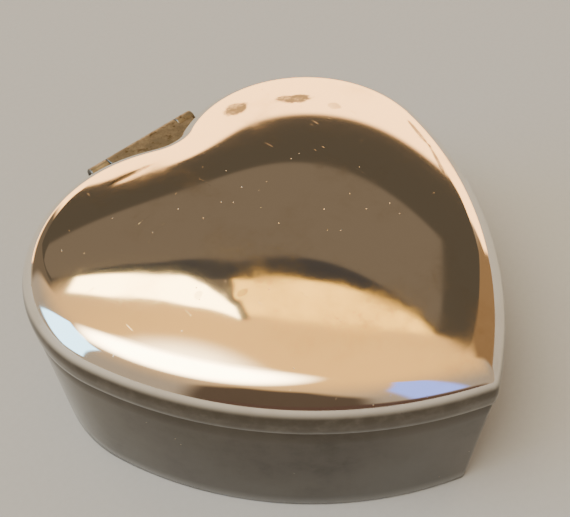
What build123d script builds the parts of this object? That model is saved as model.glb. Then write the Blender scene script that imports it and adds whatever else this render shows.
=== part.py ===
from build123d import *
import math
import os

os.makedirs("parts", exist_ok=True)

# Heart-shaped trinket box, millimetres. +Z is up, the tip of the heart points to -Y, and the origin is
# under the middle of the whole box, on the surface that it stands on.

# ---------------------------------------------------------------- driving dimensions
# Heart outline of the lid's skirt, seen from above: arcs that run into each other
LOBE_CENTRE_X = 15.0        # centre of each lobe, either side of the middle line
LOBE_RADIUS = 25.0
NOTCH_RADIUS = 4.0          # inside curve between the two lobes
FLANK_ANGLE = 17.25         # degrees below the X axis where a lobe runs into its flank
FLANK_RADIUS = 72.0
TIP_RADIUS = 1.2

# Base: one casting with a floor, and a recess under the floor for the felt
RIM_HEIGHT = 25.0           # top of the base's wall
BASE_INSET = 0.2            # the lid oversails the base by this much all round
BASE_WALL = 1.2
FLOOR_THICKNESS = 1.0
FELT_THICKNESS = 0.8
FELT_STANDOFF = 0.2         # the felt stands this far below the casting
EDGE_ROUNDING = 0.25        # polished corners of the casting

# Lid: straight skirt, rounded shoulder, and a pillow that rises from the edge to a level crown
LID_WALL = 1.0
SKIRT_HEIGHT = 1.85
SHOULDER_RADIUS = 5.0
PILLOW_RISE = 4.95
PILLOW_POWER = 1.5          # 1 would be a cone, 2 a parabola
CROWN_RADIUS = 3.0          # what is left of a lobe's radius where the pillow is level
TIP_SOFTENING = 0.35        # the tip's radius grows by this much for each mm of inset
PARTING_GAP = 0.15          # shut line between base and lid

# Linings
CARD_THICKNESS = 0.8
VELVET_THICKNESS = 0.5
LIP_HEIGHT = 1.5            # the wall card stands above the rim and locates the lid
FLOOR_WADDING = 2.0
LID_WADDING = 1.6
PAD_CLEARANCE = 0.2         # the drop-in pads clear their surroundings by this much
LIP_CLEARANCE = 0.7         # upward gap between the wall lining and the lid's pad
LID_PAD_CLEARANCE = 1.0     # sideways gap between the lid's pad and the inside of the shoulder

# Hinge behind the notch: two leaves, three knuckles and a pin
HINGE_REACH = 4.2           # pin axis behind the backs of the lobes
KNUCKLE_RADIUS = 1.5
PIN_RADIUS = 0.6
PIN_RUNNING_CLEARANCE = 0.05
BARREL_HALF_LENGTH = 12.2
CENTRE_KNUCKLE_HALF = 8.2
KNUCKLE_GAP = 0.15          # between knuckles, and round each one where the other leaf passes
LEAF_THICKNESS = 0.8
LEAF_HALF_WIDTH = 11.2
LEAF_EAR_DEPTH = 2.3        # from the pin axis forward to the corner where a leaf starts to taper
NECK_HALF_WIDTH = 4.2       # where a leaf is brazed into the notch
NECK_DEPTH = 5.6            # from the pin axis forward to the end of the taper

# ---------------------------------------------------------------- worked-out places
flank_reach = FLANK_RADIUS - LOBE_RADIUS
flank_centre_x = LOBE_CENTRE_X - flank_reach * math.cos(math.radians(FLANK_ANGLE))
flank_centre_dy = flank_reach * math.sin(math.radians(FLANK_ANGLE))
notch_centre_dy = math.sqrt((LOBE_RADIUS + NOTCH_RADIUS) ** 2 - LOBE_CENTRE_X ** 2)
tip_end_dy = flank_centre_dy - math.sqrt((FLANK_RADIUS - TIP_RADIUS) ** 2 - flank_centre_x ** 2) - TIP_RADIUS
hinge_dy = LOBE_RADIUS + HINGE_REACH
LOBE_Y = -(tip_end_dy + hinge_dy + KNUCKLE_RADIUS) / 2
HINGE_Y = LOBE_Y + hinge_dy
HINGE_Z = RIM_HEIGHT + PARTING_GAP / 2

casting_bottom = FELT_STANDOFF
floor_bottom = FELT_THICKNESS
floor_top = floor_bottom + FLOOR_THICKNESS
wall_inner = BASE_INSET + BASE_WALL
card_inner = wall_inner + CARD_THICKNESS
velvet_inner = card_inner + VELVET_THICKNESS
floor_pad_inset = velvet_inner + PAD_CLEARANCE
card_top = RIM_HEIGHT + LIP_HEIGHT
lip_top = card_top + VELVET_THICKNESS

skirt_bottom = RIM_HEIGHT + PARTING_GAP
skirt_top = skirt_bottom + SKIRT_HEIGHT
crown_inset = LOBE_RADIUS - CROWN_RADIUS
lid_velvet_bottom = lip_top + LIP_CLEARANCE
lid_wadding_bottom = lid_velvet_bottom + VELVET_THICKNESS
lid_card_bottom = lid_wadding_bottom + LID_WADDING
lid_card_top = lid_card_bottom + CARD_THICKNESS


# ---------------------------------------------------------------- shared shapes
def heart_section(inset, height, tip_radius=TIP_RADIUS):
    """Flat face inside the heart outline moved in by inset, lying at a height."""
    lobe = LOBE_RADIUS - inset
    notch = NOTCH_RADIUS + inset
    flank = FLANK_RADIUS - inset
    notch_y = LOBE_Y + notch_centre_dy
    flank_y = LOBE_Y + flank_centre_dy
    tip_drop = math.sqrt((flank - tip_radius) ** 2 - flank_centre_x ** 2)
    notch_half = math.degrees(math.atan2(LOBE_CENTRE_X, notch_centre_dy))
    tip_half = math.degrees(math.atan2(tip_drop, -flank_centre_x))
    lobe_sweep = 90 + notch_half + FLANK_ANGLE
    flank_sweep = tip_half - FLANK_ANGLE
    with BuildSketch(Plane.XY.offset(height)) as section:
        with BuildLine():
            CenterArc((0, notch_y), notch, -90 - notch_half, 2 * notch_half)
            CenterArc((-LOBE_CENTRE_X, LOBE_Y), lobe, 90 - notch_half, lobe_sweep)
            CenterArc((-flank_centre_x, flank_y), flank, 180 + FLANK_ANGLE, flank_sweep)
            CenterArc((0, flank_y - tip_drop), tip_radius, 180 + tip_half, 180 - 2 * tip_half)
            CenterArc((flank_centre_x, flank_y), flank, -tip_half, flank_sweep)
            CenterArc((LOBE_CENTRE_X, LOBE_Y), lobe, -FLANK_ANGLE, lobe_sweep)
        make_face()
    return section.sketch


def heart_slab(inset, bottom, top, mode=Mode.ADD):
    """Upright heart between two heights, for the part that is being built."""
    extrude(heart_section(inset, bottom), amount=top - bottom, mode=mode)


def heart_ring(outer_inset, inner_inset, bottom, top):
    """Upright heart-shaped wall between two insets and two heights."""
    heart_slab(outer_inset, bottom, top)
    heart_slab(inner_inset, bottom, top, mode=Mode.SUBTRACT)


def lid_point(inset):
    """(inset, rise above the skirt, slope in degrees) of the lid's outer skin at an inset."""
    remaining = 1 - inset / crown_inset
    rise = PILLOW_RISE * (1 - remaining ** PILLOW_POWER)
    gradient = PILLOW_RISE * PILLOW_POWER / crown_inset * remaining ** (PILLOW_POWER - 1)
    across = max(SHOULDER_RADIUS - inset, 0)
    shoulder_rise = math.sqrt(SHOULDER_RADIUS ** 2 - across ** 2)
    if shoulder_rise == 0:
        return inset, rise, 90
    gradient += across / shoulder_rise
    return inset, rise + shoulder_rise, math.degrees(math.atan(gradient))


def lid_profile():
    """Points up the lid's outer skin, from the skirt to the crown."""
    shoulder_steps = 5
    pillow_steps = 5
    turns = [math.radians(90 * step / shoulder_steps) for step in range(shoulder_steps + 1)]
    insets = [SHOULDER_RADIUS * (1 - math.cos(turn)) for turn in turns]
    span = crown_inset - SHOULDER_RADIUS
    insets += [SHOULDER_RADIUS + span * step / pillow_steps for step in range(1, pillow_steps + 1)]
    return [lid_point(inset) for inset in insets]


def skin_sections(depth):
    """(inset, height, tip radius) of the lid's sections at a depth inside its outer skin."""
    sections = []
    for inset, rise, slope in lid_profile():
        section_inset = inset + depth * math.sin(math.radians(slope))
        section_z = skirt_top + rise - depth * math.cos(math.radians(slope))
        sections.append((section_inset, section_z, TIP_RADIUS + TIP_SOFTENING * inset))
    return sections


def lid_skin(depth, mode=Mode.ADD):
    """Lid body whose skin lies depth inside the lid's outer skin."""
    faces = [heart_section(*section).face() for section in skin_sections(depth)]
    loft(faces, ruled=True, mode=mode)


def inner_skin_inset(height):
    """Inset of the lid's inner skin at a height above the table."""
    sections = skin_sections(LID_WALL)
    for (low_inset, low_z, _), (high_inset, high_z, _) in zip(sections, sections[1:]):
        if low_z <= height <= high_z:
            return low_inset + (high_inset - low_inset) * (height - low_z) / (high_z - low_z)


def leaf_plate(shell_inset, bottom):
    """Tapered hinge leaf from the pin axis forward to the shell that it is brazed to."""
    with BuildSketch(Plane.XY.offset(bottom)) as plate:
        with BuildLine():
            Polyline(
                (-LEAF_HALF_WIDTH, HINGE_Y),
                (-LEAF_HALF_WIDTH, HINGE_Y - LEAF_EAR_DEPTH),
                (-NECK_HALF_WIDTH, HINGE_Y - NECK_DEPTH),
                (-NECK_HALF_WIDTH, LOBE_Y),
                (NECK_HALF_WIDTH, LOBE_Y),
                (NECK_HALF_WIDTH, HINGE_Y - NECK_DEPTH),
                (LEAF_HALF_WIDTH, HINGE_Y - LEAF_EAR_DEPTH),
                (LEAF_HALF_WIDTH, HINGE_Y),
                close=True,
            )
        make_face()
        add(heart_section(shell_inset, 0), mode=Mode.SUBTRACT)
    extrude(plate.sketch, amount=LEAF_THICKNESS)


def axis_cylinder(radius, start_x, end_x, mode=Mode.ADD):
    """Cylinder along the pin axis between two places on it."""
    with BuildSketch(Plane.YZ.offset(start_x)) as end_face:
        with Locations((HINGE_Y, HINGE_Z)):
            Circle(radius)
    extrude(end_face.sketch, amount=end_x - start_x, mode=mode)


# ---------------------------------------------------------------- base
with BuildPart() as base_shell:
    heart_slab(BASE_INSET, casting_bottom, RIM_HEIGHT)
    outer_edges = base_shell.faces().filter_by(Axis.Z).edges()
    fillet(outer_edges, radius=EDGE_ROUNDING)
    heart_slab(wall_inner, casting_bottom, floor_bottom, mode=Mode.SUBTRACT)
    heart_slab(wall_inner, floor_top, RIM_HEIGHT, mode=Mode.SUBTRACT)

with BuildPart() as underside_felt:
    heart_slab(wall_inner + PAD_CLEARANCE, 0, FELT_THICKNESS)

with BuildPart() as wall_lining_card:
    heart_ring(wall_inner, card_inner, floor_top, card_top)

with BuildPart() as wall_lining_velvet:
    heart_ring(card_inner, velvet_inner, floor_top, card_top)
    heart_ring(wall_inner, velvet_inner, card_top, lip_top)

with BuildPart() as floor_pad_card:
    heart_slab(floor_pad_inset, floor_top, floor_top + CARD_THICKNESS)

with BuildPart() as floor_pad_wadding:
    wadding_bottom = floor_top + CARD_THICKNESS
    heart_slab(floor_pad_inset, wadding_bottom, wadding_bottom + FLOOR_WADDING)

with BuildPart() as floor_pad_velvet:
    velvet_bottom = wadding_bottom + FLOOR_WADDING
    heart_slab(floor_pad_inset, velvet_bottom, velvet_bottom + VELVET_THICKNESS)

# ---------------------------------------------------------------- lid
with BuildPart() as lid_shell:
    heart_slab(0, skirt_bottom, skirt_top)
    lid_skin(0)
    heart_slab(LID_WALL, skirt_bottom, skirt_top, mode=Mode.SUBTRACT)
    lid_skin(LID_WALL, mode=Mode.SUBTRACT)

lid_pad_inset = inner_skin_inset(lid_card_top) + LID_PAD_CLEARANCE

with BuildPart() as lid_pad_card:
    heart_slab(lid_pad_inset, lid_card_bottom, lid_card_top)

with BuildPart() as lid_pad_wadding:
    heart_slab(lid_pad_inset, lid_wadding_bottom, lid_card_bottom)

with BuildPart() as lid_pad_velvet:
    heart_slab(lid_pad_inset, lid_velvet_bottom, lid_wadding_bottom)

# ---------------------------------------------------------------- hinge
outer_knuckle_start = CENTRE_KNUCKLE_HALF + KNUCKLE_GAP
sweep_radius = KNUCKLE_RADIUS + KNUCKLE_GAP
pin_bore = PIN_RADIUS + PIN_RUNNING_CLEARANCE

with BuildPart() as hinge_lid_leaf:
    leaf_plate(0, HINGE_Z + KNUCKLE_RADIUS - LEAF_THICKNESS)
    axis_cylinder(sweep_radius, CENTRE_KNUCKLE_HALF, BARREL_HALF_LENGTH, mode=Mode.SUBTRACT)
    axis_cylinder(sweep_radius, -BARREL_HALF_LENGTH, -CENTRE_KNUCKLE_HALF, mode=Mode.SUBTRACT)
    axis_cylinder(KNUCKLE_RADIUS, -CENTRE_KNUCKLE_HALF, CENTRE_KNUCKLE_HALF)
    axis_cylinder(pin_bore, -CENTRE_KNUCKLE_HALF, CENTRE_KNUCKLE_HALF, mode=Mode.SUBTRACT)

with BuildPart() as hinge_base_leaf:
    leaf_plate(BASE_INSET, HINGE_Z - KNUCKLE_RADIUS)
    axis_cylinder(sweep_radius, -outer_knuckle_start, outer_knuckle_start, mode=Mode.SUBTRACT)
    axis_cylinder(KNUCKLE_RADIUS, outer_knuckle_start, BARREL_HALF_LENGTH)
    axis_cylinder(KNUCKLE_RADIUS, -BARREL_HALF_LENGTH, -outer_knuckle_start)
    axis_cylinder(PIN_RADIUS, -BARREL_HALF_LENGTH, BARREL_HALF_LENGTH, mode=Mode.SUBTRACT)

with BuildPart() as hinge_pin:
    axis_cylinder(PIN_RADIUS, -BARREL_HALF_LENGTH, BARREL_HALF_LENGTH)

# ---------------------------------------------------------------- write one STEP file per piece
base_shell.part.label = "base_shell"
export_step(base_shell.part, "parts/base_shell.step")
underside_felt.part.label = "underside_felt"
export_step(underside_felt.part, "parts/underside_felt.step")
wall_lining_card.part.label = "wall_lining_card"
export_step(wall_lining_card.part, "parts/wall_lining_card.step")
wall_lining_velvet.part.label = "wall_lining_velvet"
export_step(wall_lining_velvet.part, "parts/wall_lining_velvet.step")
floor_pad_card.part.label = "floor_pad_card"
export_step(floor_pad_card.part, "parts/floor_pad_card.step")
floor_pad_wadding.part.label = "floor_pad_wadding"
export_step(floor_pad_wadding.part, "parts/floor_pad_wadding.step")
floor_pad_velvet.part.label = "floor_pad_velvet"
export_step(floor_pad_velvet.part, "parts/floor_pad_velvet.step")
lid_shell.part.label = "lid_shell"
export_step(lid_shell.part, "parts/lid_shell.step")
lid_pad_card.part.label = "lid_pad_card"
export_step(lid_pad_card.part, "parts/lid_pad_card.step")
lid_pad_wadding.part.label = "lid_pad_wadding"
export_step(lid_pad_wadding.part, "parts/lid_pad_wadding.step")
lid_pad_velvet.part.label = "lid_pad_velvet"
export_step(lid_pad_velvet.part, "parts/lid_pad_velvet.step")
hinge_lid_leaf.part.label = "hinge_lid_leaf"
export_step(hinge_lid_leaf.part, "parts/hinge_lid_leaf.step")
hinge_base_leaf.part.label = "hinge_base_leaf"
export_step(hinge_base_leaf.part, "parts/hinge_base_leaf.step")
hinge_pin.part.label = "hinge_pin"
export_step(hinge_pin.part, "parts/hinge_pin.step")
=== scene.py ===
import math

import bmesh
import bpy
import numpy as np
from mathutils import Matrix, Vector


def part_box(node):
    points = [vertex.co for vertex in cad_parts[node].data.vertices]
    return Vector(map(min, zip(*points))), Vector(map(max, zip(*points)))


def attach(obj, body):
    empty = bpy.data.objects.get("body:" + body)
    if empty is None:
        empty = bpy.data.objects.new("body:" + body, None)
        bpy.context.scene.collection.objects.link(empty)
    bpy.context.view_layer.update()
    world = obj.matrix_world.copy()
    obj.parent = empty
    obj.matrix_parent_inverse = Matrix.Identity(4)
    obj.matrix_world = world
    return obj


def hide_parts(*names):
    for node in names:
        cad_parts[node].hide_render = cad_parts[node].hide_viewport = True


# Heart-shaped trinket box: silver-plated shells, hinge, velvet lining and cushions, felt underneath.
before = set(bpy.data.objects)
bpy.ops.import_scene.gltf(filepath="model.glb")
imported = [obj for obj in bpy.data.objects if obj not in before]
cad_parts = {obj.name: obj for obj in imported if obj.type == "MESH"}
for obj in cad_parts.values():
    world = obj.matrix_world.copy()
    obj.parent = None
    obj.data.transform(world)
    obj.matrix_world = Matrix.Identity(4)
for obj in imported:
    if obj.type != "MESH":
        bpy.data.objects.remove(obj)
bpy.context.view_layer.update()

MM = 0.001

# ---------------------------------------------------------------- sizes shared with the CAD model
LOBE_X = 15 * MM            # lobe centres, either side of the middle line
LOBE_RADIUS = 25 * MM
NOTCH_RADIUS = 4 * MM
FLANK_ANGLE = math.radians(17.25)
FLANK_RADIUS = 72 * MM
TIP_RADIUS = 1.2 * MM
BASE_INSET = 0.2 * MM
BASE_WALL = 1.2 * MM
LID_WALL = 1.0 * MM
SKIRT_HEIGHT = 1.85 * MM
SHOULDER_RADIUS = 5 * MM
VELVET = 0.5 * MM
CARD = 0.8 * MM
KNUCKLE_RADIUS = 1.5 * MM
PIN_RADIUS = 0.6 * MM
CENTRE_KNUCKLE_HALF = 8.2 * MM
KNUCKLE_GAP = 0.15 * MM
LEAF_THICKNESS = 0.8 * MM
LEAF_HALF_WIDTH = 11.2 * MM
LEAF_EAR_DEPTH = 2.3 * MM
NECK_HALF_WIDTH = 4.2 * MM
NECK_DEPTH = 5.6 * MM

# ---------------------------------------------------------------- places read from the frame
lid_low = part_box("lid_shell")[0]
base_low, base_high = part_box("base_shell")
pin_low, pin_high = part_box("hinge_pin")
felt_low, felt_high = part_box("underside_felt")
floor_card_low, floor_card_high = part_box("floor_pad_card")
floor_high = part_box("floor_pad_velvet")[1]
lid_pad_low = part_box("lid_pad_velvet")[0]
lid_card_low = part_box("lid_pad_card")[0]
lining_low, lining_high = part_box("wall_lining_velvet")

FLANK_X = LOBE_X - (FLANK_RADIUS - LOBE_RADIUS) * math.cos(FLANK_ANGLE)
FLANK_DY = (FLANK_RADIUS - LOBE_RADIUS) * math.sin(FLANK_ANGLE)
NOTCH_DY = math.sqrt((LOBE_RADIUS + NOTCH_RADIUS) ** 2 - LOBE_X ** 2)
TIP_END_DY = FLANK_DY - math.sqrt((FLANK_RADIUS - TIP_RADIUS) ** 2 - FLANK_X ** 2) - TIP_RADIUS
LOBE_Y = lid_low[1] - TIP_END_DY
HINGE_Y = (pin_low[1] + pin_high[1]) / 2
HINGE_Z = (pin_low[2] + pin_high[2]) / 2
BARREL_HALF = pin_high[0]

SKIRT_BOTTOM = lid_low[2]
SKIRT_TOP = SKIRT_BOTTOM + SKIRT_HEIGHT
RIM = base_high[2]
CROWN_CENTRE = (0.0, LOBE_Y - 9 * MM)       # every skin is drawn in towards this point


# ---------------------------------------------------------------- mesh helpers
def arc(cx, cy, radius, start, end, count):
    """Points along an arc, without its last one."""
    turn = start + (end - start) * np.arange(count) / count
    return np.column_stack([cx + radius * np.cos(turn), cy + radius * np.sin(turn)])


def heart(inset, tip_radius=TIP_RADIUS, counts=(10, 84, 66, 10)):
    """Closed heart outline moved inward by inset, from the notch clockwise.

    counts are the points along the notch, the lobe, the flank and the tip of one half.
    """
    lobe = LOBE_RADIUS - inset
    notch = NOTCH_RADIUS + inset
    flank = FLANK_RADIUS - inset
    drop = math.sqrt((flank - tip_radius) ** 2 - FLANK_X ** 2)
    notch_half = math.atan2(LOBE_X, NOTCH_DY)
    tip_turn = math.atan2(drop, -FLANK_X)
    tip_y = FLANK_DY - drop
    half = np.vstack([
        arc(0, NOTCH_DY, notch, -math.pi / 2, notch_half - math.pi / 2, counts[0]),
        arc(LOBE_X, 0, lobe, math.pi / 2 + notch_half, -FLANK_ANGLE, counts[1]),
        arc(FLANK_X, FLANK_DY, flank, -FLANK_ANGLE, -tip_turn, counts[2]),
        arc(0, tip_y, tip_radius, -tip_turn, -math.pi / 2, counts[3]),
        [[0, tip_y - tip_radius]],
    ])
    other_half = half[1:-1][::-1] * np.array([-1, 1])
    points = np.vstack([half, other_half])
    points[:, 1] += LOBE_Y
    return points


def shrunk(ring, centre, steps):
    """Copies of a ring on its way in to the centre, which isn't included."""
    return [centre + (ring - centre) * (1 - step / steps) for step in range(1, steps)]


def ring_faces(rings, count, closed_top=None):
    """Quads between stacked rings of equal count; closed_top is the index of an apex point."""
    faces = []
    for ring in range(rings - 1):
        low = ring * count
        high = low + count
        for j in range(count):
            k = (j + 1) % count
            faces.append((low + k, low + j, high + j, high + k))
    if closed_top is not None:
        last = (rings - 1) * count
        for j in range(count):
            faces.append((last + (j + 1) % count, last + j, closed_top))
    return faces


def new_object(name, points, faces, sharp_angle=None):
    """Mesh object with its faces turned outward; edges bent by more than sharp_angle stay crisp."""
    mesh = bpy.data.meshes.new(name)
    mesh.from_pydata([tuple(p) for p in points], [], faces)
    mesh.validate()
    shape = bmesh.new()
    shape.from_mesh(mesh)
    bmesh.ops.recalc_face_normals(shape, faces=shape.faces)
    shape.to_mesh(mesh)
    shape.free()
    mesh.shade_smooth()
    if sharp_angle is not None:
        mesh.set_sharp_from_angle(angle=math.radians(sharp_angle))
    piece = bpy.data.objects.new(name, mesh)
    bpy.context.scene.collection.objects.link(piece)
    return piece


def level_ring(outline, height):
    return np.column_stack([outline, np.full(len(outline), height)])


def stacked(name, profile, wobble):
    """Closed wall from a loop of (inset, height) pairs, swept round the heart; wobble bends each ring."""
    rings = [wobble(level_ring(heart(inset), height)) for inset, height in profile]
    count = len(rings[0])
    faces = ring_faces(len(rings), count)
    last = (len(rings) - 1) * count
    faces += [(last + (j + 1) % count, last + j, j, (j + 1) % count) for j in range(count)]
    return new_object(name, np.vstack(rings), faces)


def slab(name, profile, centre_steps):
    """Closed heart-shaped body; profile is its edge, (inset, height) from the bottom face to the top face."""
    rings = [level_ring(heart(inset, counts=(8, 60, 48, 8)), height) for inset, height in profile]
    centre = np.array([*CROWN_CENTRE, 0])

    def cap(ring):
        middle = centre + np.array([0, 0, ring[0, 2]])
        return shrunk(ring, middle, centre_steps), middle

    under, under_middle = cap(rings[0])
    over, over_middle = cap(rings[-1])
    rings = under[::-1] + rings + over
    count = len(rings[0])
    faces = ring_faces(len(rings), count)
    under_apex = len(rings) * count
    faces += [(j, (j + 1) % count, under_apex) for j in range(count)]
    last = (len(rings) - 1) * count
    faces += [(last + (j + 1) % count, last + j, under_apex + 1) for j in range(count)]
    return new_object(name, np.vstack(rings + [[under_middle, over_middle]]), faces)


def membrane(points, faces, fixed_count, load):
    """Height of a film held at its first fixed_count points and pushed up evenly (conjugate gradients)."""
    count = len(points)
    corner = points[faces]
    edge = [corner[:, 2] - corner[:, 1], corner[:, 0] - corner[:, 2], corner[:, 1] - corner[:, 0]]
    twice_area = np.abs(edge[0][:, 0] * edge[1][:, 1] - edge[0][:, 1] * edge[1][:, 0]) + 1e-18
    start = []
    end = []
    weight = []
    share = np.zeros(count)
    for k in range(3):
        a, b = (k + 1) % 3, (k + 2) % 3
        cotangent = -np.sum(edge[a] * edge[b], axis=1) / twice_area
        start += [faces[:, a], faces[:, b]]
        end += [faces[:, b], faces[:, a]]
        weight += [cotangent / 2, cotangent / 2]
        share += np.bincount(faces[:, k], twice_area / 6, count)
    start = np.concatenate(start)
    end = np.concatenate(end)
    weight = np.concatenate(weight)
    diagonal = np.bincount(start, weight, count)
    free = np.ones(count)
    free[:fixed_count] = 0

    def stiffness(x):
        return free * (diagonal * x - np.bincount(start, weight * x[end], count))

    height = np.zeros(count)
    residual = free * share * load
    scale = free / np.maximum(diagonal, 1e-12)
    step = scale * residual
    size = residual @ step
    for _ in range(1500):
        pushed = stiffness(step)
        move = size / (step @ pushed)
        height += move * step
        residual = residual - move * pushed
        ready = scale * residual
        new_size = residual @ ready
        if new_size < 1e-18 * abs(size) or new_size == 0:
            break
        step = ready + (new_size / size) * step
        size = new_size
    return height


# ---------------------------------------------------------------- material helpers
def material(name):
    made = bpy.data.materials.new(name)
    made.use_nodes = True
    return made, made.node_tree, made.node_tree.nodes["Principled BSDF"]


def node(tree, kind, **values):
    """New node; each value goes to the input of that name, or else to the node's property."""
    made = tree.nodes.new(kind)
    for key, value in values.items():
        if key in made.inputs.keys():
            made.inputs[key].default_value = value
        else:
            setattr(made, key, value)
    return made


def noise(tree, scale, detail, roughness, coords):
    made = node(tree, "ShaderNodeTexNoise", Scale=scale, Detail=detail, Roughness=roughness)
    tree.links.new(coords, made.inputs["Vector"])
    return made.outputs["Fac"]


def remap(tree, value, low, high, to_low=0.0, to_high=1.0, smooth=True):
    made = tree.nodes.new("ShaderNodeMapRange")
    made.interpolation_type = "SMOOTHSTEP" if smooth else "LINEAR"
    for name, number in (("From Min", low), ("From Max", high), ("To Min", to_low), ("To Max", to_high)):
        made.inputs[name].default_value = number
    tree.links.new(value, made.inputs["Value"])
    return made.outputs["Result"]


def math_node(tree, operation, a, b=None):
    """Maths on one or two values; each is a number or a socket."""
    made = tree.nodes.new("ShaderNodeMath")
    made.operation = operation
    for socket, value in ((0, a), (1, b)):
        if value is None:
            continue
        if isinstance(value, (int, float)):
            made.inputs[socket].default_value = value
        else:
            tree.links.new(value, made.inputs[socket])
    return made.outputs[0]


def blend_colour(tree, factor, a, b):
    """Colour a where factor is 0 and b where it is 1; each is a colour or a socket."""
    made = tree.nodes.new("ShaderNodeMix")
    made.data_type = "RGBA"
    tree.links.new(factor, made.inputs["Factor"])
    for name, value in (("A", a), ("B", b)):
        socket = [s for s in made.inputs if s.name == name and s.type == "RGBA"][0]
        if isinstance(value, tuple):
            socket.default_value = (*value, 1)
        else:
            tree.links.new(value, socket)
    return [s for s in made.outputs if s.type == "RGBA"][0]


def object_coords(tree):
    """Coordinates in metres, which stay on the piece when it moves."""
    return tree.nodes.new("ShaderNodeTexCoord").outputs["Object"]


def add_bump(tree, shader, height, distance):
    bump = tree.nodes.new("ShaderNodeBump")
    bump.inputs["Distance"].default_value = distance
    bump.inputs["Strength"].default_value = 1.0
    tree.links.new(height, bump.inputs["Height"])
    tree.links.new(bump.outputs["Normal"], shader.inputs["Normal"])


SCRATCH_STRETCHES = ((90, 2600, 1200), (2300, 130, 1200))   # noise drawn out into lines, two ways


def laid_dark_ovals(tree, coords, fine, colour, dark_ovals):
    """Lay ragged, mottled ovals over a colour."""
    patchy = noise(tree, 300, 3, 0.6, coords)
    broken = remap(tree, fine, 0.30, 0.58, 0.65, 1.0)
    for x, y, long_half, short_half, direction, strength in dark_ovals:
        placed = node(tree, "ShaderNodeMapping", vector_type="TEXTURE")
        placed.inputs["Location"].default_value = (x * MM, y * MM, 0)
        placed.inputs["Rotation"].default_value = (0, 0, math.radians(direction))
        placed.inputs["Scale"].default_value = (long_half * MM, short_half * MM, 1000)
        tree.links.new(coords, placed.inputs["Vector"])
        length = tree.nodes.new("ShaderNodeVectorMath")
        length.operation = "LENGTH"
        tree.links.new(placed.outputs[0], length.inputs[0])
        ragged = math_node(tree, "ADD", length.outputs["Value"], math_node(tree, "MULTIPLY", patchy, 1.5))
        covered = math_node(tree, "MULTIPLY", remap(tree, ragged, 1.85, 1.45), broken)
        inside = math_node(tree, "MULTIPLY", covered, strength)
        # near-black ovals: painted dark reflection where they lie over the dents
        colour = blend_colour(tree, inside, colour, (0.085, 0.080, 0.072))
    return colour


def silver_plate(name, bright, worn, tarnish_from, tarnish_to, polish, painted_reflection_heights, painted_reflection_colour, dark_ovals=()):
    """Polished silver plate: cloudy tarnish, pin-holes and scratches over a mirror, with painted dark
    reflection along its lower edge and in dark ovals.

    The base colour darkens, as painted dark reflection, between the first and the second of the two heights
    given.
    """
    made, tree, shader = material(name)
    coords = object_coords(tree)
    split = tree.nodes.new("ShaderNodeSeparateXYZ")
    tree.links.new(coords, split.inputs[0])
    cloud = noise(tree, 55, 6, 0.6, coords)
    fine = noise(tree, 420, 5, 0.65, coords)
    tarnish = remap(tree, cloud, tarnish_from, tarnish_to)
    mottled = math_node(tree, "MULTIPLY", tarnish, remap(tree, fine, 0.35, 0.75, 0.45, 1.0))
    colour = blend_colour(tree, mottled, bright, worn)
    specks = node(tree, "ShaderNodeTexVoronoi", Scale=520.0, Randomness=1.0)
    tree.links.new(coords, specks.inputs["Vector"])
    rare = remap(tree, noise(tree, 90, 2, 0.5, coords), 0.50, 0.60)
    pit = math_node(tree, "MULTIPLY", remap(tree, specks.outputs["Distance"], 0.055, 0.03), rare)
    colour = blend_colour(tree, pit, colour, (0.30, 0.25, 0.19))
    # painted dark reflection: the base colour turns near black between the two heights given
    painted_reflection_band = remap(tree, split.outputs["Z"], painted_reflection_heights[0], painted_reflection_heights[1])
    painted_dark_reflection = math_node(tree, "MULTIPLY", painted_reflection_band, remap(tree, fine, 0.2, 0.6, 0.93, 1.0))
    colour = blend_colour(tree, painted_dark_reflection, colour, painted_reflection_colour)
    if dark_ovals:
        colour = laid_dark_ovals(tree, coords, fine, colour, dark_ovals)
    tree.links.new(colour, shader.inputs["Base Color"])
    shader.inputs["Metallic"].default_value = 1.0
    hazy = remap(tree, mottled, 0.0, 1.0, polish, polish + 0.16, smooth=False)
    rough = math_node(tree, "ADD", hazy, math_node(tree, "MULTIPLY", pit, 0.4))
    tree.links.new(rough, shader.inputs["Roughness"])
    waviness = noise(tree, 38, 1, 0.4, coords)
    height = math_node(tree, "ADD", math_node(tree, "MULTIPLY", waviness, 0.6),
                       math_node(tree, "MULTIPLY", pit, -1.2))
    for stretch in SCRATCH_STRETCHES:
        drawn = tree.nodes.new("ShaderNodeVectorMath")
        drawn.operation = "MULTIPLY"
        drawn.inputs[1].default_value = stretch
        tree.links.new(coords, drawn.inputs[0])
        line = remap(tree, noise(tree, 1.0, 1, 0.5, drawn.outputs[0]), 0.775, 0.80)
        height = math_node(tree, "ADD", height, math_node(tree, "MULTIPLY", line, -0.07))
    add_bump(tree, shader, height, 0.00004)
    return made


def hinge_plate():
    """Dull, brown-grey tarnished plate with brighter rubbed spots."""
    made, tree, shader = material("hinge_plate")
    coords = object_coords(tree)
    cloud = noise(tree, 260, 6, 0.7, coords)
    colour = blend_colour(tree, remap(tree, cloud, 0.38, 0.7), (0.115, 0.115, 0.115), (0.27, 0.265, 0.26))
    dirt = remap(tree, noise(tree, 700, 4, 0.6, coords), 0.55, 0.7)
    colour = blend_colour(tree, dirt, colour, (0.060, 0.050, 0.038))
    tree.links.new(colour, shader.inputs["Base Color"])
    shader.inputs["Metallic"].default_value = 1.0
    tree.links.new(remap(tree, cloud, 0.3, 0.7, 0.50, 0.36), shader.inputs["Roughness"])
    add_bump(tree, shader, cloud, 0.00006)
    return made


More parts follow.
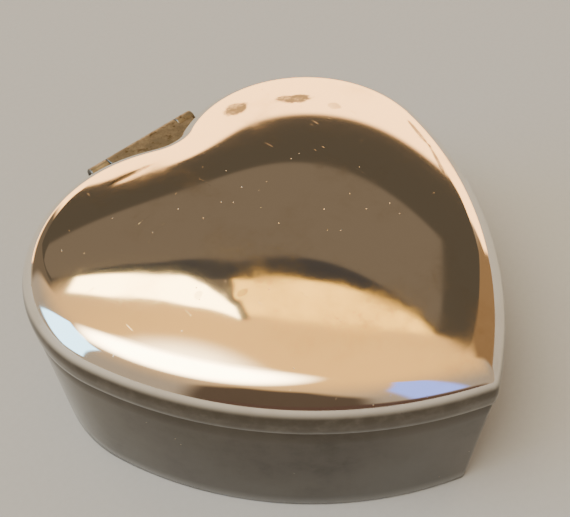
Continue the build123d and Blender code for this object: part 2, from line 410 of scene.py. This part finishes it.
def steel_pin():
    made, tree, shader = material("steel_pin")
    coords = object_coords(tree)
    grain = noise(tree, 900, 3, 0.5, coords)
    colour = blend_colour(tree, grain, (0.42, 0.40, 0.37), (0.66, 0.64, 0.60))
    tree.links.new(colour, shader.inputs["Base Color"])
    shader.inputs["Metallic"].default_value = 1.0
    tree.links.new(remap(tree, grain, 0.2, 0.8, 0.25, 0.45), shader.inputs["Roughness"])
    add_bump(tree, shader, grain, 0.00002)
    return made


def pile(name, dark, light, scale, sheen, depth):
    """Velvet or felt: short fibres, nap brushed in patches."""
    made, tree, shader = material(name)
    coords = object_coords(tree)
    fibres = noise(tree, scale, 3, 0.7, coords)
    nap = noise(tree, 110, 4, 0.6, coords)
    mixed = math_node(tree, "ADD", math_node(tree, "MULTIPLY", fibres, 0.45),
                      math_node(tree, "MULTIPLY", nap, 0.55))
    colour = blend_colour(tree, remap(tree, mixed, 0.36, 0.64), dark, light)
    tree.links.new(colour, shader.inputs["Base Color"])
    shader.inputs["Roughness"].default_value = 0.95
    shader.inputs["Specular IOR Level"].default_value = 0.15
    shader.inputs["Sheen Weight"].default_value = sheen
    shader.inputs["Sheen Roughness"].default_value = 0.35
    shader.inputs["Sheen Tint"].default_value = (*[min(1.0, 4 * c + 0.25) for c in light], 1)
    add_bump(tree, shader, fibres, depth)
    return made


def card_board():
    made, tree, shader = material("card_board")
    coords = object_coords(tree)
    fibres = noise(tree, 1500, 5, 0.7, coords)
    colour = blend_colour(tree, fibres, (0.36, 0.31, 0.24), (0.58, 0.52, 0.43))
    tree.links.new(colour, shader.inputs["Base Color"])
    shader.inputs["Roughness"].default_value = 0.9
    add_bump(tree, shader, fibres, 0.00004)
    return made


# dark ovals on the lid, in mm: (x, y, half length, half width, direction in degrees, strength); over the
# dents they are painted dark reflection, the others are dark streaks and spots
DARK_OVALS = (
    (12.9, 26.3, 2.7, 2.3, 8, 0.95),
    (22.0, 20.3, 3.5, 1.9, -38, 0.95),
    (25.3, 13.0, 1.1, 1.3, 0, 0.45),
    (-12.1, 25.9, 3.8, 0.8, -11, 0.75),
    (27.4, -8.9, 4.6, 0.35, 57, 0.8),
    (31.2, -1.6, 4.0, 0.45, 67, 0.8),
    (-21.0, -2.7, 0.8, 0.6, 20, 0.35),
    (-16.6, -7.2, 1.2, 0.7, -10, 0.35),
)
# the lid's lower shoulder and skirt get a near-black painted dark reflection
SILVER_LID = silver_plate(
    "silver_plate_lid", bright=(0.93, 0.87, 0.79), worn=(0.70, 0.61, 0.50),
    tarnish_from=0.47, tarnish_to=0.76, polish=0.05,
    painted_reflection_heights=(SKIRT_TOP + 3.0 * MM, SKIRT_TOP + 1.6 * MM), painted_reflection_colour=(0.115, 0.100, 0.082),
    dark_ovals=DARK_OVALS)
# the base's colours are near black all over and darker still towards the bottom: painted dark reflection,
# with tarnish mottling over it
SILVER_BASE = silver_plate(
    "silver_plate_base", bright=(0.125, 0.113, 0.098), worn=(0.065, 0.056, 0.046),
    tarnish_from=0.35, tarnish_to=0.75, polish=0.07,
    painted_reflection_heights=(4 * MM, 0.0), painted_reflection_colour=(0.080, 0.070, 0.057))
HINGE = hinge_plate()
PIN = steel_pin()
VELVET_PILE = pile("velvet_pile", (0.006, 0.010, 0.045), (0.020, 0.030, 0.110), 2600, 0.8, 0.00012)
FELT_PILE = pile("felt_pile", (0.010, 0.010, 0.012), (0.035, 0.034, 0.038), 1900, 0.3, 0.00016)
CARD_BOARD = card_board()


def finish_piece(piece, body, skin, slot, *replaced):
    """Give a piece its material and body, and let it stand for the CAD nodes named last; slot is not used."""
    piece.data.materials.append(skin)
    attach(piece, body)
    if replaced:
        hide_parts(*replaced)
    return piece


# ---------------------------------------------------------------- lid
PILLOW_LOAD = 14.5          # curvature of the pillow, per metre
OUTLINE_REACH = 20 * MM     # outlines stay parallel to the edge up to this inset, and then shrink
LID_COUNTS = (12, 100, 76, 12)
SHOULDER_STEPS = 20
FINE_STEPS = 36
CENTRE_STEPS = 26
INNER_SPACING = 0.97        # spacing of the inner skin's outlines, as a share of the outer skin's
TIP_SOFTENING = 0.35        # how fast the tip's radius grows with the inset


def soft_tip(inset):
    """Radius of the heart's tip, which grows as the outline moves in."""
    return TIP_RADIUS + TIP_SOFTENING * inset


def outline_insets():
    """Insets of the lid's outlines, close together over the shoulder."""
    turns = np.linspace(0, math.pi / 2, SHOULDER_STEPS)
    shoulder = SHOULDER_RADIUS * (1 - np.cos(turns))
    return [*shoulder, *np.linspace(SHOULDER_RADIUS, OUTLINE_REACH, FINE_STEPS)[1:]]


def skin_plan(outlines):
    """Plan view of a skin of the lid: outlines from its edge inward, then rings shrinking to its centre."""
    centre = np.array(CROWN_CENTRE)
    return np.vstack(outlines + shrunk(outlines[-1], centre, CENTRE_STEPS) + [[centre]])


def build_lid():
    insets = outline_insets()
    plan = skin_plan([heart(inset, soft_tip(inset), LID_COUNTS) for inset in insets])
    inner_plan = skin_plan([heart(LID_WALL + inset * INNER_SPACING, soft_tip(inset), LID_COUNTS)
                            for inset in insets])
    count = 2 * sum(LID_COUNTS)
    rings = (len(plan) - 1) // count
    faces = ring_faces(rings, count, closed_top=rings * count)
    triangles = []
    for face in faces:
        triangles.append(face[:3])
        if len(face) == 4:
            triangles.append((face[0], face[2], face[3]))
    pillow = membrane(plan, np.array(triangles), count, PILLOW_LOAD)
    edge = np.repeat(insets + [insets[-1]] * (CENTRE_STEPS - 1), count)
    edge = np.append(edge, insets[-1])
    across = np.maximum(SHOULDER_RADIUS - edge, 0)
    outer_z = SKIRT_TOP + np.sqrt(SHOULDER_RADIUS ** 2 - across ** 2) + pillow
    outer = press_dents(np.column_stack([plan, outer_z]))
    # the inner skin's shoulder is an arc about the same centre, one wall smaller
    inner_radius = SHOULDER_RADIUS - LID_WALL
    inner_across = across * inner_radius / SHOULDER_RADIUS
    inner_z = SKIRT_TOP + np.sqrt(inner_radius ** 2 - inner_across ** 2) + pillow
    inner = np.column_stack([inner_plan, inner_z])

    lip = 0.12 * MM             # rounding of the skirt's lower edge
    middle = SKIRT_BOTTOM + 1.0 * MM
    below = [(0, middle), (0, SKIRT_BOTTOM + lip), (0.3 * lip, SKIRT_BOTTOM + 0.3 * lip), (lip, SKIRT_BOTTOM),
             (LID_WALL - lip, SKIRT_BOTTOM), (LID_WALL - 0.3 * lip, SKIRT_BOTTOM + 0.3 * lip),
             (LID_WALL, SKIRT_BOTTOM + lip), (LID_WALL, middle)]
    skirt = [level_ring(heart(inset, TIP_RADIUS, LID_COUNTS), height) for inset, height in below]
    points = np.vstack([outer, inner] + skirt)
    first_inner = len(outer)
    first_skirt = len(outer) + len(inner)
    # the inner skin's faces run the other way round
    all_faces = faces + [tuple(reversed([v + first_inner for v in face])) for face in faces]

    def bridge(a, b):
        for j in range(count):
            k = (j + 1) % count
            all_faces.append((a + j, a + k, b + k, b + j))

    bridge(0, first_skirt)
    for step in range(len(below) - 1):
        bridge(first_skirt + step * count, first_skirt + (step + 1) * count)
    bridge(first_skirt + (len(below) - 1) * count, first_inner)
    return new_object("lid_dome", points, all_faces)


# small dents from use, in mm: (x, y, half length, half width, direction in degrees, depth)
DENTS = (
    (12.7, 25.8, 2.6, 2.0, 8, 0.05),
    (22.3, 19.7, 3.4, 1.6, -38, 0.05),
    (-12.1, 25.6, 3.6, 0.8, -11, 0.03),
    (-21.0, -2.7, 0.9, 0.6, 20, 0.012),
    (-16.6, -7.2, 1.2, 0.7, -10, 0.018),
)


def press_dents(points):
    """Push soft round-bottomed dents into the lid's outer skin."""
    for x, y, long_half, short_half, direction, depth in DENTS:
        turn = math.radians(direction)
        dx = points[:, 0] / MM - x
        dy = points[:, 1] / MM - y
        along = dx * math.cos(turn) + dy * math.sin(turn)
        beside = dy * math.cos(turn) - dx * math.sin(turn)
        points[:, 2] -= depth * MM * np.exp(-(along / long_half) ** 2 - (beside / short_half) ** 2)
    return points


finish_piece(build_lid(), "lid", SILVER_LID, "silver_plate", "lid_shell")


# ---------------------------------------------------------------- base
def build_base():
    """Bowl: a rounded wall, and a floor closed over and under."""
    edge = 0.22 * MM            # rounding of the rim and of the foot
    wall_in = BASE_INSET + BASE_WALL
    floor_under = felt_high[2]
    floor_over = floor_card_low[2]
    bottom = base_low[2]
    outer = BASE_INSET
    profile = [(wall_in, floor_under), (wall_in, bottom + edge), (wall_in - 0.3 * edge, bottom + 0.3 * edge),
               (wall_in - edge, bottom), (outer + edge, bottom), (outer + 0.3 * edge, bottom + 0.3 * edge),
               (outer, bottom + edge)]
    wall_steps = 8
    floor_steps = 6
    straight = RIM - bottom - 2 * edge
    profile += [(outer, bottom + edge + straight * k / wall_steps) for k in range(1, wall_steps)]
    profile += [(outer, RIM - edge), (outer + 0.3 * edge, RIM - 0.3 * edge), (outer + edge, RIM),
                (wall_in - edge, RIM), (wall_in - 0.3 * edge, RIM - 0.3 * edge), (wall_in, RIM - edge),
                (wall_in, floor_over)]
    rings = [level_ring(heart(inset), height) for inset, height in profile]
    count = len(rings[0])
    points = list(np.vstack(rings))
    faces = ring_faces(len(rings), count)
    for edge_start, height in ((0, floor_under), ((len(rings) - 1) * count, floor_over)):
        flip = height == floor_over
        previous = edge_start
        middle = np.array([*CROWN_CENTRE, height])
        for ring in shrunk(level_ring(heart(wall_in), height), middle, floor_steps):
            start = len(points)
            points += list(ring)
            for j in range(count):
                k = (j + 1) % count
                face = (previous + j, previous + k, start + k, start + j)
                faces.append(tuple(reversed(face)) if flip else face)
            previous = start
        apex = len(points)
        points.append(middle)
        for j in range(count):
            face = (previous + j, previous + (j + 1) % count, apex)
            faces.append(tuple(reversed(face)) if flip else face)
    return new_object("base_bowl", points, faces)


finish_piece(build_base(), "base", SILVER_BASE, "silver_plate", "base_shell")


# ---------------------------------------------------------------- hinge
SHEET_EDGE = 0.1 * MM       # rounding of the sheet metal's edges
MIDDLE_RADIUS = KNUCKLE_RADIUS - LEAF_THICKNESS / 2
EAR_GAP = KNUCKLE_RADIUS + KNUCKLE_GAP - 0.1 * MM       # from the pin's axis to the edge of the ears
CURL_ANGLE = math.radians(288)                          # how far the sheet rolls round the pin


def bent_sheet(stations):
    """Rings and faces of sheet metal through stations (y, z, normal angle, left x, right x) of its middle."""
    half = LEAF_THICKNESS / 2
    edge = SHEET_EDGE
    points = []
    for y, z, turn, left, right in stations:
        section = ((left + edge, half), (right - edge, half), (right, half - edge), (right, edge - half),
                   (right - edge, -half), (left + edge, -half), (left, edge - half), (left, half - edge))
        for x, offset in section:
            points.append((x, y + offset * math.cos(turn), z + offset * math.sin(turn)))
    faces = ring_faces(len(stations), 8)
    faces.append(tuple(range(8)))
    faces.append(tuple(range(len(points) - 8, len(points))))
    return points, faces


def plate_stations(side, shell_inset):
    """Flat of a leaf, from inside the shell's wall at the notch back to its ears; side is 1 for the lid's."""
    turn = side * math.pi / 2
    z = HINGE_Z + side * MIDDLE_RADIUS
    stations = []
    lobe = LOBE_RADIUS - shell_inset
    notch = NOTCH_RADIUS + shell_inset
    for across in (0.4 * MM, 1.4 * MM, 2.3 * MM, 3.2 * MM, NECK_HALF_WIDTH):
        if across < notch * LOBE_X / (LOBE_RADIUS + NOTCH_RADIUS):
            dy = NOTCH_DY - math.sqrt(notch ** 2 - across ** 2)
        else:
            dy = math.sqrt(lobe ** 2 - (LOBE_X - across) ** 2)
        stations.append((LOBE_Y + dy, z, turn, -across, across))
    ears = ((NECK_DEPTH, NECK_HALF_WIDTH), (LEAF_EAR_DEPTH + 0.12 * MM, LEAF_HALF_WIDTH - 0.2 * MM),
            (LEAF_EAR_DEPTH, LEAF_HALF_WIDTH), (EAR_GAP + SHEET_EDGE, LEAF_HALF_WIDTH),
            (EAR_GAP + 0.02 * MM, LEAF_HALF_WIDTH - SHEET_EDGE))
    for depth, half in ears:
        stations.append((HINGE_Y - depth, z, turn, -half, half))
    return stations


def curl_stations(side, left, right, start_depth):
    """Sheet that runs back to the pin's axis and rolls round it."""
    stations = [(HINGE_Y - start_depth, HINGE_Z + side * MIDDLE_RADIUS, side * math.pi / 2, left, right)]
    steps = 40
    for step in range(steps + 1):
        turn = side * (math.pi / 2 - CURL_ANGLE * step / steps)
        stations.append((HINGE_Y + MIDDLE_RADIUS * math.cos(turn), HINGE_Z + MIDDLE_RADIUS * math.sin(turn),
                         turn, left, right))
    return stations


def merged(name, *meshes):
    """One object from several closed meshes; their creases stay crisp."""
    points = []
    faces = []
    for mesh_points, mesh_faces in meshes:
        faces += [tuple(v + len(points) for v in face) for face in mesh_faces]
        points += mesh_points
    return new_object(name, points, faces, sharp_angle=35)


def turned_pin():
    """Pin with slightly domed ends, turned about the hinge axis."""
    dome = 0.2 * MM
    ends = [(0.08, 0.45), (0.35, 0.8), (1.0, 1.0)]
    profile = [(-BARREL_HALF + dome * along, PIN_RADIUS * share) for along, share in ends]
    profile += [(-x, radius) for x, radius in profile[::-1]]
    sides = 24
    points = []
    for x, radius in profile:
        for j in range(sides):
            turn = 2 * math.pi * j / sides
            points.append((x, HINGE_Y + radius * math.cos(turn), HINGE_Z + radius * math.sin(turn)))
    faces = ring_faces(len(profile), sides)
    points += [(-BARREL_HALF, HINGE_Y, HINGE_Z), (BARREL_HALF, HINGE_Y, HINGE_Z)]
    last = (len(profile) - 1) * sides
    for j in range(sides):
        k = (j + 1) % sides
        faces.append((j, k, len(points) - 2))
        faces.append((last + k, last + j, len(points) - 1))
    return new_object("hinge_pin_rod", points, faces)


def braze_bead():
    """Lumpy fillet where the lid's leaf is brazed into the notch."""
    counts = (24, 160, 66, 10)
    outline = heart(0.0, counts=counts)
    outside = heart(-0.3 * MM, counts=counts)
    half_width = NECK_HALF_WIDTH - 0.2 * MM
    near = [i for i, (x, y) in enumerate(outline) if abs(x) < half_width and y > LOBE_Y]
    near.sort(key=lambda i: outline[i, 0])
    top = HINGE_Z + KNUCKLE_RADIUS
    sink = -0.15 * MM           # the bead starts this far below the leaf's face
    bite = -0.2 * MM            # and this far inside the lid's skin
    points = []
    for i in near:
        out = (outside[i] - outline[i]) / np.linalg.norm(outside[i] - outline[i])
        x = outline[i, 0] / MM
        lump = (0.10 * math.sin(3.1 * x) + 0.07 * math.sin(7.3 * x + 1)) * MM
        taper = math.sqrt(max(0.0, 1 - (x * MM / NECK_HALF_WIDTH) ** 2)) + 0.05
        reach = (0.5 * MM + lump) * taper
        rise = (0.30 * MM + 0.5 * lump) * taper
        for away, up in ((bite, sink), (reach, sink), (0.85 * reach, 0.3 * rise), (0.45 * reach, 0.65 * rise),
                         (0.1 * MM, rise), (bite, rise)):
            points.append((outline[i, 0] + away * out[0], outline[i, 1] + away * out[1], top + up))
    faces = ring_faces(len(near), 6)
    faces.append(tuple(range(6)))
    faces.append(tuple(range(len(points) - 6, len(points))))
    return points, faces


def build_hinge():
    centre = CENTRE_KNUCKLE_HALF
    rooted = 0.5 * MM           # each leaf starts this deep in its shell's wall
    lid_sheet = plate_stations(1, rooted)
    lid_sheet += curl_stations(1, -centre, centre, EAR_GAP)
    lid_leaf = merged("hinge_lid_plate", bent_sheet(lid_sheet), braze_bead())
    finish_piece(lid_leaf, "lid", HINGE, "hinge_metal", "hinge_lid_leaf")
    outer = centre + KNUCKLE_GAP
    flat = bent_sheet(plate_stations(-1, BASE_INSET + rooted))
    right_curl = bent_sheet(curl_stations(-1, outer, BARREL_HALF, EAR_GAP))
    left_curl = bent_sheet(curl_stations(-1, -BARREL_HALF, -outer, EAR_GAP))
    base_leaf = merged("hinge_base_plate", flat, right_curl, left_curl)
    finish_piece(base_leaf, "base", HINGE, "hinge_metal", "hinge_base_leaf")
    finish_piece(turned_pin(), "base", PIN, "steel_pin", "hinge_pin")


build_hinge()


# ---------------------------------------------------------------- velvet lining of the wall
def build_lining():
    skin = 0.01 * MM            # the cloth lies this far off the card
    wall_in = BASE_INSET + BASE_WALL
    behind = wall_in + CARD + skin
    front = wall_in + CARD + VELVET
    top = lining_high[2]
    foot = lining_low[2]
    card_top = top - VELVET + skin
    face_top = top - 0.32 * MM
    profile = [(behind, foot), (behind, card_top), (wall_in + skin, card_top),
               (wall_in + skin, top - 0.3 * MM), (wall_in + 0.1 * MM, top - 0.1 * MM),
               (wall_in + 0.3 * MM, top), (front - 0.35 * MM, top),
               (front - 0.12 * MM, top - 0.09 * MM), (front, face_top)]
    steps = 14
    profile += [(front, face_top - (face_top - foot) * k / steps) for k in range(1, steps + 1)]

    def wobble(ring):
        """The cloth isn't glued perfectly flat."""
        along = np.linspace(0, 2 * math.pi, len(ring), endpoint=False)
        height = ring[0, 2]
        wave = np.sin(9 * along + 260 * height) + 0.7 * np.sin(17 * along - 410 * height + 1.3)
        ring[:, :2] *= (1 + 0.0006 * wave)[:, None]
        return ring

    lining = stacked("velvet_wall_lining", profile, wobble)
    outline = heart((behind + front) / 2)
    return finish_piece(lining, "base", VELVET_PILE, "velvet", "wall_lining_velvet")


build_lining()


# ---------------------------------------------------------------- padded cushions
SIM_SCALE = 10              # the cloth is worked at ten times its size, where the solver is steady
VOXEL = 0.8 * MM
LAST_FRAME = 20
GLUED_SHARE = 0.45          # part of the cushion's depth, from the card, that the glue holds still


def evaluated_copy(piece):
    """The piece's mesh with its modifiers carried out."""
    graph = bpy.context.evaluated_depsgraph_get()
    return bpy.data.meshes.new_from_object(piece.evaluated_get(graph))


def apply_modifiers(piece):
    """Put the evaluated mesh in the place of the piece's own mesh and its modifiers."""
    done = evaluated_copy(piece)
    piece.modifiers.clear()
    old = piece.data
    piece.data = done
    bpy.data.meshes.remove(old)


def read_points(mesh):
    """The mesh's points as an array of x, y, z rows."""
    flat = np.empty(3 * len(mesh.vertices))
    mesh.vertices.foreach_get("co", flat)
    return flat.reshape(-1, 3)


def write_points(mesh, points):
    mesh.vertices.foreach_set("co", points.ravel())
    mesh.update()


def swell(piece, glued_height, face_height, cap):
    """Stretch cloth over the wadding: the glued side stays, and the rest puffs out by less than cap."""
    write_points(piece.data, read_points(piece.data) * SIM_SCALE)
    remesh = piece.modifiers.new("remesh", "REMESH")
    remesh.mode = "VOXEL"
    remesh.voxel_size = VOXEL * SIM_SCALE
    apply_modifiers(piece)
    start = read_points(piece.data)
    reach = abs(face_height - glued_height) * SIM_SCALE
    from_glue = np.abs(start[:, 2] - glued_height * SIM_SCALE)
    pins = piece.vertex_groups.new(name="glued")
    pins.add([int(i) for i in np.nonzero(from_glue < GLUED_SHARE * reach)[0]], 1.0, "REPLACE")
    cloth = piece.modifiers.new("cloth", "CLOTH")
    settings = cloth.settings
    settings.quality = 6
    settings.mass = 0.3
    settings.tension_stiffness = 12
    settings.compression_stiffness = 12
    settings.bending_stiffness = 0.3
    settings.vertex_group_mass = "glued"
    settings.shrink_min = -0.03
    settings.use_pressure = True
    settings.uniform_pressure_force = 4
    settings.effector_weights.gravity = 0
    cloth.point_cache.frame_start = 1
    cloth.point_cache.frame_end = LAST_FRAME
    for number in range(1, LAST_FRAME + 1):
        bpy.context.scene.frame_set(number)
        bpy.context.evaluated_depsgraph_get()
    moved_mesh = evaluated_copy(piece)
    move = read_points(moved_mesh) - start
    bpy.data.meshes.remove(moved_mesh)
    piece.modifiers.clear()
    distance = np.linalg.norm(move, axis=1) + 1e-12     # never quite zero, because it divides
    limit = cap * SIM_SCALE
    move *= (limit * np.tanh(distance / limit) / distance)[:, None]
    write_points(piece.data, start + move)
    bpy.context.scene.frame_set(1)
    finer = piece.modifiers.new("finer", "SUBSURF")
    finer.levels = 1
    finer.render_levels = 1
    apply_modifiers(piece)
    write_points(piece.data, read_points(piece.data) / SIM_SCALE)
    piece.vertex_groups.clear()
    piece.data.shade_smooth()


def build_cushion(name, inset, glued, face):
    """Wadding under velvet on a card, between the glued height and the height of its face."""
    side = 1 if face > glued else -1
    depth = abs(face - glued)
    flat_part = glued + side * 0.62 * depth     # the cloth starts low and swells
    profile = [(inset + 0.15 * MM, glued), (inset, glued + side * 0.2 * depth),
               (inset, glued + side * 0.35 * depth), (inset + 0.3 * MM, glued + side * 0.55 * depth),
               (inset + 1.1 * MM, flat_part)]
    cushion = slab(name, profile if side > 0 else profile[::-1], centre_steps=22)
    swell(cushion, glued, face, 0.34 * depth)
    return cushion


lining_face = BASE_INSET + BASE_WALL + CARD + VELVET
floor_cushion = build_cushion("floor_cushion", lining_face + 0.25 * MM, floor_card_high[2], floor_high[2])
finish_piece(floor_cushion, "base", VELVET_PILE, "velvet", "floor_pad_velvet", "floor_pad_wadding")
lid_pad_inset = lid_pad_low[1] - lid_low[1]
lid_cushion = build_cushion("lid_cushion", lid_pad_inset, lid_card_low[2], lid_pad_low[2])
finish_piece(lid_cushion, "lid", VELVET_PILE, "velvet", "lid_pad_velvet", "lid_pad_wadding")


# ---------------------------------------------------------------- felt and card
def build_felt():
    inset = felt_low[1] - lid_low[1]
    rounding = 0.15 * MM
    top = felt_high[2]
    profile = [(inset + rounding, 0.0), (inset + 0.3 * rounding, 0.3 * rounding), (inset, rounding),
               (inset, top - rounding), (inset + 0.3 * rounding, top - 0.3 * rounding),
               (inset + rounding, top)]
    felt = slab("felt_sheet", profile, centre_steps=10)
    return finish_piece(felt, "base", FELT_PILE, "felt", "underside_felt")


build_felt()
for card_node in ("wall_lining_card", "floor_pad_card", "lid_pad_card"):
    bpy.data.objects[card_node].material_slots[0].material = CARD_BOARD


# ---------------------------------------------------------------- stage, light and camera
def build_stage():
    half = 8.0                  # metres, so that its edge lies near the horizon in every view
    points = [(-half, -half, 0), (half, -half, 0), (half, half, 0), (-half, half, 0)]
    floor = new_object("floor", points, [(0, 1, 2, 3)])
    made, tree, shader = material("floor_paper")
    coords = object_coords(tree)
    grain = noise(tree, 900, 4, 0.6, coords)
    colour = blend_colour(tree, grain, (0.19, 0.225, 0.305), (0.21, 0.25, 0.34))
    tree.links.new(colour, shader.inputs["Base Color"])
    shader.inputs["Roughness"].default_value = 0.85
    floor.data.materials.append(made)


def build_world():
    """Studio of large soft panels, dark screens and one lamp, which the polished lid mirrors.

    Places are (azimuth, elevation) in degrees, with azimuth 0 towards +Y and 90 towards +X.
    """
    world = bpy.data.worlds.new("studio")
    bpy.context.scene.world = world
    world.use_nodes = True
    tree = world.node_tree
    tree.nodes.clear()
    coords = tree.nodes.new("ShaderNodeTexCoord").outputs["Generated"]
    split = tree.nodes.new("ShaderNodeSeparateXYZ")
    tree.links.new(coords, split.inputs[0])
    x, y, z = split.outputs
    elevation = math_node(tree, "MULTIPLY", math_node(tree, "ARCSINE", z), 180 / math.pi)
    azimuth = math_node(tree, "MULTIPLY", math_node(tree, "ARCTAN2", x, y), 180 / math.pi)

    def across(first, second):
        """How far a direction lies to the left of the line from first to second, in degrees."""
        run, climb = second[0] - first[0], second[1] - first[1]
        length = math.hypot(run, climb)
        up = math_node(tree, "MULTIPLY", elevation, run / length)
        sideways = math_node(tree, "MULTIPLY", azimuth, -climb / length)
        offset = (climb * first[0] - run * first[1]) / length
        return math_node(tree, "ADD", math_node(tree, "ADD", up, sideways), offset)

    def panel(below, colour, corners, soft=1.0):
        """Lay a convex panel over what is below it; its corners run anticlockwise."""
        inside = None
        for first, second in zip(corners, corners[1:] + corners[:1]):
            edge = remap(tree, across(first, second), -soft, soft)
            inside = edge if inside is None else math_node(tree, "MULTIPLY", inside, edge)
        return blend_colour(tree, inside, below, colour)

    # walls that turn into a warm ceiling, and a brown wall on the right
    colour = blend_colour(tree, remap(tree, elevation, 12, 74), (0.56, 0.44, 0.31), (1.75, 0.95, 0.26))
    colour = panel(colour, (0.37, 0.21, 0.09), [(90, -30), (124, -30), (130, 52), (90, 58)], 6.0)
    # the bright far wall, with a dark strip at its left end
    colour = panel(colour, (5.0, 2.75, 1.05), [(-14, -40), (101, -40), (97, 10), (84, 28), (2, 26), (-14, 8)])
    colour = panel(colour, (0.19, 0.14, 0.09), [(-22, 4), (7, 4), (7, 50), (-12, 42)], 3.0)
    # two lens-shaped lights overhead, with a dark gap between them
    colour = panel(colour, (3.7, 2.0, 0.34),
                   [(17, 60), (94, 57), (93, 63), (85, 69), (70, 73.5), (45, 75), (22, 72.5)])
    colour = panel(colour, (0.22, 0.16, 0.10), [(10, 55), (26, 62), (23, 73.5), (18, 73.5)], 0.6)
    colour = panel(colour, (14.0, 10.0, 4.2),
                   [(-6, 47), (0, 44.5), (13, 57.5), (20, 70), (18, 73), (5, 65), (-4, 54)], 0.6)
    # the dark screen, its darker upper edge and its browner middle
    colour = panel(colour, (0.108, 0.084, 0.056), [(-4, 20.5), (93, 25.5), (97, 57), (94, 61), (-6, 42)], 0.6)
    colour = panel(colour, (0.070, 0.062, 0.055),
                   [(-3, 44), (95, 58.5), (80, 62.5), (55, 64.8), (32, 64.8), (19, 62), (8, 55.5)], 0.35)
    colour = panel(colour, (0.225, 0.168, 0.110),
                   [(-4, 33.5), (38, 34.5), (82, 39), (93, 59), (30, 59.6), (11, 52.5), (-4, 42)], 0.5)
    # two cool windows, left and right
    colour = panel(colour, (2.4, 4.4, 5.8), [(-76, 5), (-62, 2), (-38, 9), (-40, 43), (-60, 40), (-74, 32)])
    colour = panel(colour, (0.6, 0.8, 2.2), [(-174, 8), (-160, 8), (-157, 35), (-165, 52), (-172, 45)], 1.5)
    # dark screens on the camera's side
    colour = panel(colour, (0.13, 0.09, 0.06),
                   [(-150, -20), (-104, -20), (-104, 30), (-115, 42), (-135, 42), (-150, 25)], 4.0)
    colour = panel(colour, (0.13, 0.075, 0.055),
                   [(-179, -30), (-100, -30), (-112, 6), (-150, 10), (-179, 5)], 3.0)
    # the round lamp: full within 11 degrees of its centre, gone at 28
    lamp_azimuth = math.radians(-78)
    lamp_elevation = math.radians(62)
    level = math.cos(lamp_elevation)
    towards = tree.nodes.new("ShaderNodeVectorMath")
    towards.operation = "DOT_PRODUCT"
    towards.inputs[1].default_value = (math.sin(lamp_azimuth) * level, math.cos(lamp_azimuth) * level,
                                       math.sin(lamp_elevation))
    tree.links.new(coords, towards.inputs[0])
    glow = remap(tree, towards.outputs["Value"], math.cos(math.radians(28)), math.cos(math.radians(11)))
    colour = blend_colour(tree, glow, colour, (19.0, 15.0, 9.0))
    # behind the floor the picture shows one plain tone
    backdrop = tree.nodes.new("ShaderNodeLightPath").outputs["Is Camera Ray"]
    colour = blend_colour(tree, backdrop, colour, (0.62, 0.57, 0.50))
    background = tree.nodes.new("ShaderNodeBackground")
    tree.links.new(colour, background.inputs["Color"])
    background.inputs["Strength"].default_value = 1.0
    output = tree.nodes.new("ShaderNodeOutputWorld")
    tree.links.new(background.outputs[0], output.inputs[0])


def build_camera():
    """Camera in front of the box on its left, looking down at it."""
    azimuth = math.radians(-44.29)
    elevation = math.radians(49.22)
    roll = math.radians(-1.19)
    back = Vector((math.sin(azimuth) * math.cos(elevation), -math.cos(azimuth) * math.cos(elevation),
                   math.sin(elevation)))
    level = Vector((math.cos(azimuth), math.sin(azimuth), 0))
    upright = back.cross(level)
    right = math.cos(roll) * level + math.sin(roll) * upright
    up = math.cos(roll) * upright - math.sin(roll) * level
    spot = Vector((-56.83 * MM, -67.67 * MM + LOBE_Y, 117.07 * MM))
    lens = bpy.data.cameras.new("camera")
    lens.sensor_width = 36
    lens.lens = 45.8
    lens.clip_start = 0.005
    camera = bpy.data.objects.new("camera", lens)
    bpy.context.scene.collection.objects.link(camera)
    camera.matrix_world = Matrix((
        (right.x, up.x, back.x, spot.x),
        (right.y, up.y, back.y, spot.y),
        (right.z, up.z, back.z, spot.z),
        (0, 0, 0, 1),
    ))
    bpy.context.scene.camera = camera


build_stage()
build_world()
build_camera()
